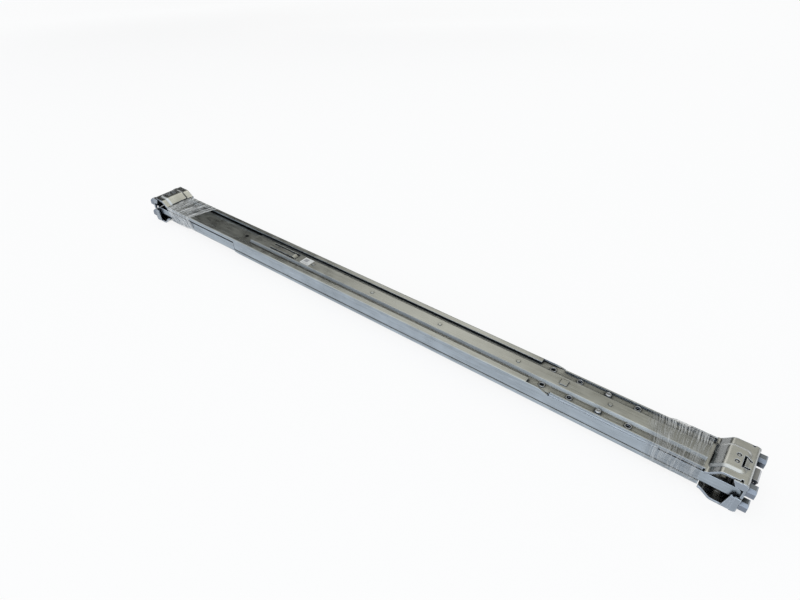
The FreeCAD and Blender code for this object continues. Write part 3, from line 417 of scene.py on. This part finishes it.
# reach, shut and alone set how far and how deep the painted shade of corners goes
STEELS = {
    "rail_steel": {**RAIL_SHEET, "shut": 0.84, "wear_and_sheen": 0.25},
    "channel_steel": {**RAIL_SHEET, "rolled": 2.0, "reach": 2 * RAIL_REACH, "shut": 0.55},
    # wide painted highlight along the ledge's edges, as well as wear
    "ledge_steel": {**RAIL_SHEET, "reach": 2 * RAIL_REACH, "shut": 0.55, "edge": LEDGE_EDGE, "wear_and_sheen": 0.9},
    # upright faces of the heads painted far darker than their tops, as painted shade
    "bracket_steel": {"level": (0.57, 0.575, 0.545), "upright_painted_tint": (0.28, 0.32, 0.37), "roughness": 0.23,
                      "rolled": 0.3, "cloud": 0.07, "reach": HEAD_REACH, "shut": 0.6, "edge": HEAD_EDGE,
                      "alone": True},
    "peg_steel": {"level": (0.27, 0.30, 0.34), "upright_painted_tint": (0.20, 0.23, 0.28), "roughness": 0.26,
                  "rolled": 0.0, "cloud": 0.06, "scuffs": 0.2},
    "fastener_steel": {"level": (0.44, 0.44, 0.43), "upright_painted_tint": (0.40, 0.42, 0.45), "roughness": 0.16,
                       "rolled": 0.0, "cloud": 0.05, "scuffs": 0.2, "reach": SCREW_REACH,
                       "edge": SCREW_EDGE},
    "spring_steel": {"level": SPRING_GREY, "upright_painted_tint": SPRING_GREY, "roughness": 0.30, "rolled": 0.6,
                     "cloud": 0.06, "reach": HEAD_REACH},
    "latch_chrome": {"level": (0.52, 0.53, 0.55), "upright_painted_tint": (0.42, 0.43, 0.45), "roughness": 0.08,
                     "rolled": 0.2, "cloud": 0.04, "reach": HEAD_REACH, "wear_and_sheen": 0.4},
    "hole_painted_shade": {"level": HOLE_PAINTED_SHADE, "upright_painted_tint": HOLE_PAINTED_SHADE, "roughness": 0.5, "rolled": 0.0,
                  "scuffs": 0.0, "wear_and_sheen": 0.0},
}
FINISHES = {name: steel(name, **looks) for name, looks in STEELS.items()}
FINISHES["label_paper"] = label_paper("label_paper")
FINISHES["stretch_film"] = film_clear("stretch_film")

FINISH_WORDS = (
    ("label", "label_paper"),
    ("film", "stretch_film"),
    ("spring", "spring_steel"),
    ("latch_pin", "fastener_steel"),
    ("bracket_rivets", "rail_steel"),
    ("screws", "fastener_steel"),
    # rivets under the domes take the dark spring finish, painted shade round the domes
    ("latch_rivets", "spring_steel"),
    ("pegs", "peg_steel"),
    ("latch", "latch_chrome"),
    ("bracket", "bracket_steel"),
    ("ledge", "ledge_steel"),
    ("channel", "channel_steel"),
)


def finish_of(name):
    """Which finish a solid takes, from the first of the words in its name."""
    return next((finish for word, finish in FINISH_WORDS if word in name), "rail_steel")


for node_name, solid in nodes.items():
    solid.data.materials.clear()
    solid.data.materials.append(FINISHES[finish_of(node_name)])


def mesh_object(name, points, faces, material, smooth=True):
    """An object out of points and faces, in the scene."""
    mesh = bpy.data.meshes.new(name)
    mesh.from_pydata(points, [], faces)
    mesh.materials.append(material)
    mesh.validate()
    if smooth:
        mesh.shade_smooth()
    made = bpy.data.objects.new(name, mesh)
    bpy.context.scene.collection.objects.link(made)
    return made


def film_ring(spots):
    """Radius of the stretched outline of (y, z) spots about the pack's centre, at even angles."""
    centre = Vector(PACK_CENTRE)
    corners = [spots[index] - centre for index in geometry.convex_hull_2d(spots)]
    radii = []
    for step in range(FILM_ROUND):
        turn = 2 * math.pi * step / FILM_ROUND
        ray = Vector((math.cos(turn), math.sin(turn)))
        reach = 0.0
        for first, second in zip(corners, corners[1:] + corners[:1]):
            edge = second - first
            across = ray.x * edge.y - ray.y * edge.x
            if abs(across) > PARALLEL:
                distance = (first.x * edge.y - first.y * edge.x) / across
                share = (first.x * ray.y - first.y * ray.x) / across
                if distance > 0 and -CORNER_SLACK <= share <= 1 + CORNER_SLACK:
                    reach = max(reach, distance)
        radii.append(reach)
    for _ in range(FILM_SOFTENING):
        radii = [(radii[index - 1] + 2 * radii[index] + radii[(index + 1) % FILM_ROUND]) / 4
                 for index in range(FILM_ROUND)]
    return np.array(radii) + FILM_GAP


def spots_under(node, low, high):
    """The (y, z) spots of a solid inside a stretch of the rails."""
    return [Vector((vertex.co.y, vertex.co.z)) for vertex in nodes[node].data.vertices
            if low - EDGE_SLACK <= vertex.co.x <= high + EDGE_SLACK]


def rings_under(bracket, inner, outer):
    """Outlines without and with the foot of a head, and where that foot starts."""
    low, high = sorted((inner, outer))
    plain = []
    for under in FILM_UNDER:
        under_low, under_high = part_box(under)
        if under_low.x < high and under_high.x > low:
            plain += spots_under(under, under_low.x, under_high.x)
    foot = spots_under(bracket, low, high)
    foot_places = [vertex.co.x for vertex in nodes[bracket].data.vertices if low <= vertex.co.x <= high]
    foot_start = max(foot_places, key=lambda place: abs(place - outer))
    return film_ring(plain), film_ring(plain + foot), foot_start


def folds_at(x, turn, seed):
    """Broad and narrow folds of the film at one spot."""
    broad = noise.noise(Vector((x * BROAD_FOLDS[0], turn * BROAD_FOLDS[1], seed)))
    narrow = noise.noise(Vector((x * NARROW_FOLDS[0], turn * NARROW_FOLDS[1], seed + NARROW_SHIFT)))
    return broad + NARROW_SHARE * narrow


def film_points(node, bracket, inner, outer, seed):
    """Rings of points from the inner edge of a film to the edge by the heads, and their mean girth."""
    plain_ring, foot_ring, foot_start = rings_under(bracket, inner, outer)
    heading = math.copysign(1, outer - inner)
    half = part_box(node)[1].y
    turns = 2 * math.pi * np.arange(FILM_ROUND) / FILM_ROUND
    points = []
    girths = []
    for step in range(FILM_ALONG):
        share = step / (FILM_ALONG - 1)
        ring = []
        for turn, bare, over_foot in zip(turns, plain_ring, foot_ring):
            y = PACK_CENTRE[0] + bare * math.cos(turn)
            round_place = Vector((math.cos(turn), math.sin(turn), seed))
            inner_wave = FILM_EDGE * noise.noise(round_place * FILM_EDGE_WAVES)
            inner_edge = inner + heading * (inner_wave - FILM_LEAN * y / half)
            outer_edge = outer - heading * FILM_EDGE * abs(noise.noise(round_place))
            x = inner_edge + (outer_edge - inner_edge) * share
            climb = min(1.0, max(0.0, heading * (x - foot_start) / FILM_CLIMB + 1.0))
            radius = bare + (over_foot - bare) * climb + FILM_FOLD * folds_at(x, turn, seed)
            ring.append((x, PACK_CENTRE[0] + radius * math.cos(turn),
                         PACK_CENTRE[1] + radius * math.sin(turn)))
        points += ring
        girths.append(sum(math.dist(first, second) for first, second in zip(ring, ring[1:] + ring[:1])))
    return points, float(np.mean(girths))


def film_faces():
    """Faces between the rings of a film."""
    faces = []
    for step in range(FILM_ALONG - 1):
        base = step * FILM_ROUND
        for index in range(FILM_ROUND):
            following = (index + 1) % FILM_ROUND
            faces.append((base + index, base + following, base + FILM_ROUND + following,
                          base + FILM_ROUND + index))
    return faces


def lay_pattern(film, length, girth, seed, edge_shown):
    """Places of the strain lines on a film, in metres along the rails and round the wrap."""
    layer = film.data.uv_layers.new(name="wrap")
    for polygon in film.data.polygons:
        corners = {index: film.data.loops[index].vertex_index for index in polygon.loop_indices}
        at_seam = max(corner % FILM_ROUND for corner in corners.values()) == FILM_ROUND - 1
        for loop_index, corner in corners.items():
            step, index = divmod(corner, FILM_ROUND)
            turn_place = FILM_ROUND if index == 0 and at_seam else index
            layer.data[loop_index].uv = (edge_shown + length * step / (FILM_ALONG - 1),
                                         seed + girth * turn_place / FILM_ROUND)


def build_film(node, bracket, inner, outer, seed, edge_shown):
    """Wrinkled film in place of the plain sleeve, from its inner edge to the edge by the heads."""
    points, girth = film_points(node, bracket, inner, outer, seed)
    film = mesh_object(f"{node}_sheet", points, film_faces(), FINISHES["stretch_film"])
    lay_pattern(film, abs(outer - inner), girth, seed, edge_shown)
    film.visible_shadow = False
    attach(film, "rails")
    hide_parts(node)


def turned(centre, profile, up, closed=False):
    """Points and faces of a profile of (radius, height) turned about a vertical line; up is 1 or -1."""
    points = []
    for step in range(TURN_STEPS):
        turn = 2 * math.pi * step / TURN_STEPS
        points += [(centre[0] + radius * math.cos(turn), centre[1] + up * radius * math.sin(turn),
                    centre[2] + up * height) for radius, height in profile]
    count = len(profile)
    faces = []
    for step in range(TURN_STEPS):
        following = (step + 1) % TURN_STEPS
        for index in range(count if closed else count - 1):
            other = (index + 1) % count
            faces.append((step * count + index, following * count + index,
                          following * count + other, step * count + other))
    return points, faces


def build_turned_piece(name, body, bits, finish):
    """One piece out of several lists of points and faces, on a body."""
    points = []
    faces = []
    for bit_points, bit_faces in bits:
        faces += [tuple(index + len(points) for index in face) for face in bit_faces]
        points += bit_points
    piece = mesh_object(name, points, faces, FINISHES[finish])
    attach(piece, body)
    return piece


def build_arm_details(rail, up):
    """Beads and punched walls of the open holes of one arm, the walls dark as painted shade, and its socket
    screws.
    """
    low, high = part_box(f"{rail}_arm_screws")
    middle = (low + high) / 2
    seat = (high.z if up > 0 else low.z) - up * SCREW_RISE
    rows = (middle.y - HOLE_ROWS / 2, middle.y + HOLE_ROWS / 2)
    holes = [(middle.x + up * place * HOLE_PITCH, row, seat) for place in HOLE_PLACES for row in rows]
    turns = [2 * math.pi * step / TUBE_STEPS for step in range(TUBE_STEPS)]
    bead = [(HOLE_RING + HOLE_TUBE * math.cos(turn), HOLE_TUBE * math.sin(turn)) for turn in turns]
    body = f"{rail}_arm"
    build_turned_piece(f"{rail}_arm_hole_rims", body,
                       [turned(hole, bead, up, closed=True) for hole in holes],
                       "fastener_steel")
    # hole walls in the dark spring finish: painted shade inside the holes
    build_turned_piece(f"{rail}_arm_hole_walls", body,
                       [turned(hole, HOLE_WALL, up, closed=True) for hole in holes],
                       "spring_steel")
    screws = build_turned_piece(f"{rail}_arm_socket_screws", body,
                                [turned((middle.x, row, seat), SCREW_PROFILE, up) for row in rows],
                                "fastener_steel")
    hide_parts(f"{rail}_arm_screws")


def build_web_hole(rail, up):
    """Near-black cup and rim that paint the shade of the hole in a channel's web, ahead of the arm's inner
    end.
    """
    low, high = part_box(f"{rail}_arm")
    screws_low, screws_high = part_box(f"{rail}_arm_screws")
    arm_start = low.x if up > 0 else high.x
    place = (arm_start - up * WEB_HOLE_LEAD, (screws_low.y + screws_high.y) / 2,
             PACK_CENTRE[1] + up * WEB_TOP)
    build_turned_piece(f"{rail}_web_hole_shade_cup", "rails", [turned(place, WEB_HOLE_CUP, up)],
                       "hole_painted_shade")


def build_rivet_domes(rail, end, body, up):
    """Domed heads of the two leaf spring rivets, just below the top of a head's raised panel."""
    low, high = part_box(f"{rail}_{end}_latch_rivets")
    middle = (low + high) / 2
    top = (high.z if up > 0 else low.z) + up * RIVET_SINK
    bits = [turned((middle.x, middle.y + side * RIVET_ROWS / 2, top), RIVET_DOME, up) for side in (-1, 1)]
    build_turned_piece(f"{rail}_{end}_rivet_domes", body, bits, "fastener_steel")


def build_leaf(rail, end, body):
    """Leaf spring, an own copy of the solid, on the body of its head."""
    node = f"{rail}_{end}_latch_spring"
    leaf = bpy.data.objects.new(f"{node}_leaf", nodes[node].data.copy())
    bpy.context.scene.collection.objects.link(leaf)
    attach(leaf, body)
    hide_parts(node)
    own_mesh(leaf)


def card(name, half_width, half_height, material):
    """A flat rectangle about the origin."""
    corners = [(-half_width, -half_height, 0), (half_width, -half_height, 0), (half_width, half_height, 0),
               (-half_width, half_height, 0)]
    return mesh_object(name, corners, [(0, 1, 2, 3)], material, smooth=False)


def build_floor():
    """Pale floor that keeps the shadow."""
    material, tree, surface = new_material("floor_white")
    place = shader(tree, "TexCoord").outputs["Object"]
    cloud = stretched_noise(tree, place, FLOOR_GRAIN)
    white = mixed(tree, cloud, rgba([FLOOR_DARK] * 3), rgba([FLOOR_LIGHT] * 3))
    tree.links.new(white, surface.inputs["Base Color"])
    surface.inputs["Roughness"].default_value = FLOOR_ROUGHNESS
    surface.inputs["Specular IOR Level"].default_value = FLOOR_SHINE
    path = shader(tree, "LightPath")
    mirrored = math_node(tree, "MAXIMUM", path.outputs["Is Glossy Ray"], path.outputs["Is Transmission Ray"])
    seen = math_node(tree, "MAXIMUM", path.outputs["Is Camera Ray"], mirrored)
    glow = shader(tree, "Emission", {"Color": rgba((1, 1, 1)), "Strength": 1.0})
    blend = shader(tree, "MixShader", {0: math_node(tree, "MULTIPLY", seen, FLOOR_GLOW),
                                       1: surface.outputs[0], 2: glow.outputs[0]})
    output = next(item for item in tree.nodes if item.type == "OUTPUT_MATERIAL")
    tree.links.new(blend.outputs[0], output.inputs["Surface"])
    floor = card("floor", FLOOR_HALF, FLOOR_HALF, material)
    floor.visible_shadow = False


def build_world():
    """Studio surround: bright overhead, warm and dimmer at the back, cool and brighter at the front."""
    world = bpy.data.worlds.new("studio")
    world.use_nodes = True
    tree = world.node_tree
    direction = shader(tree, "TexCoord").outputs["Generated"]
    aim = shader(tree, "SeparateXYZ", {"Vector": direction})
    back = spread(tree, aim.outputs["Y"], BACK_SPAN, 0.0, 1.0, smooth=True)
    low = spread(tree, aim.outputs["Z"], LOW_SPAN, 1.0, 0.0, smooth=True)
    back_wall = mixed(tree, low, rgba(BACK_WALL), rgba(BACK_HORIZON))
    sides = mixed(tree, back, rgba(FRONT_WALL), back_wall)
    lift = spread(tree, aim.outputs["Z"], LIFT_SPAN, 0.0, 1.0, smooth=True)
    overhead = mixed(tree, back, rgba(FRONT_OVERHEAD), rgba(BACK_OVERHEAD))
    sky = mixed(tree, lift, sides, overhead)
    background = next(item for item in tree.nodes if item.type == "BACKGROUND")
    tree.links.new(sky, background.inputs["Color"])
    bpy.context.scene.world = world


def aim_at(thing, place, target):
    """Put a lamp or a card in its place, facing a target."""
    thing.location = place
    thing.rotation_euler = (Vector(target) - Vector(place)).to_track_quat("-Z", "Y").to_euler()


def add_lamp(name, place, target, size, power, colour):
    """Soft rectangular lamp."""
    data = bpy.data.lights.new(name, "AREA")
    data.shape = "RECTANGLE"
    data.size, data.size_y = size
    data.energy = power
    data.color = colour
    lamp = bpy.data.objects.new(name, data)
    aim_at(lamp, place, target)
    bpy.context.scene.collection.objects.link(lamp)


def build_flag(name, place, target, size):
    """Dark card out of the picture, for the dark reflections in bare metal."""
    material, tree, surface = new_material("flag_black")
    grain = stretched_noise(tree, shader(tree, "TexCoord").outputs["Object"], FLAG_GRAIN)
    tree.links.new(mixed(tree, grain, rgba(FLAG_DARK), rgba(FLAG_LIGHT)), surface.inputs["Base Color"])
    surface.inputs["Roughness"].default_value = FLAG_ROUGHNESS
    flag = card(name, size[0] / 2, size[1] / 2, material)
    aim_at(flag, place, target)
    flag.visible_camera = False
    flag.visible_shadow = False


def build_camera():
    """Camera in the place of the photographer's."""
    data = bpy.data.cameras.new("camera")
    data.lens = FOCAL_PIXELS / IMAGE_WIDTH * SENSOR
    data.sensor_width = SENSOR
    data.clip_start = CAMERA_NEAR
    camera = bpy.data.objects.new("camera", data)
    camera.location = CAMERA_PLACE
    camera.rotation_euler = (math.radians(90 - CAMERA_ELEVATION), 0, math.radians(CAMERA_AZIMUTH))
    bpy.context.scene.collection.objects.link(camera)
    bpy.context.scene.camera = camera


left_low, left_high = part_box("film_wrap_left")
right_low, right_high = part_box("film_wrap_right")
build_film("film_wrap_left", "lower_rear_bracket", left_high.x, left_low.x, FILM_LEFT_START,
           FILM_LEFT_SHOWN)
build_film("film_wrap_right", "upper_rear_bracket", right_low.x, right_high.x, FILM_RIGHT_START,
           FILM_RIGHT_SHOWN)
for rail, up in RAILS:
    build_arm_details(rail, up)
    build_web_hole(rail, up)
for rail, up in RAILS:
    for end, body in (("front", "rails"), ("rear", f"{rail}_arm")):
        build_rivet_domes(rail, end, body, up)
        build_leaf(rail, end, body)

build_floor()
build_world()
for lamp_name, settings in LAMPS.items():
    add_lamp(lamp_name, **settings)
for flag_name, settings in FLAGS.items():
    build_flag(flag_name, **settings)
build_camera()
bpy.context.scene.view_settings.view_transform = "Standard"
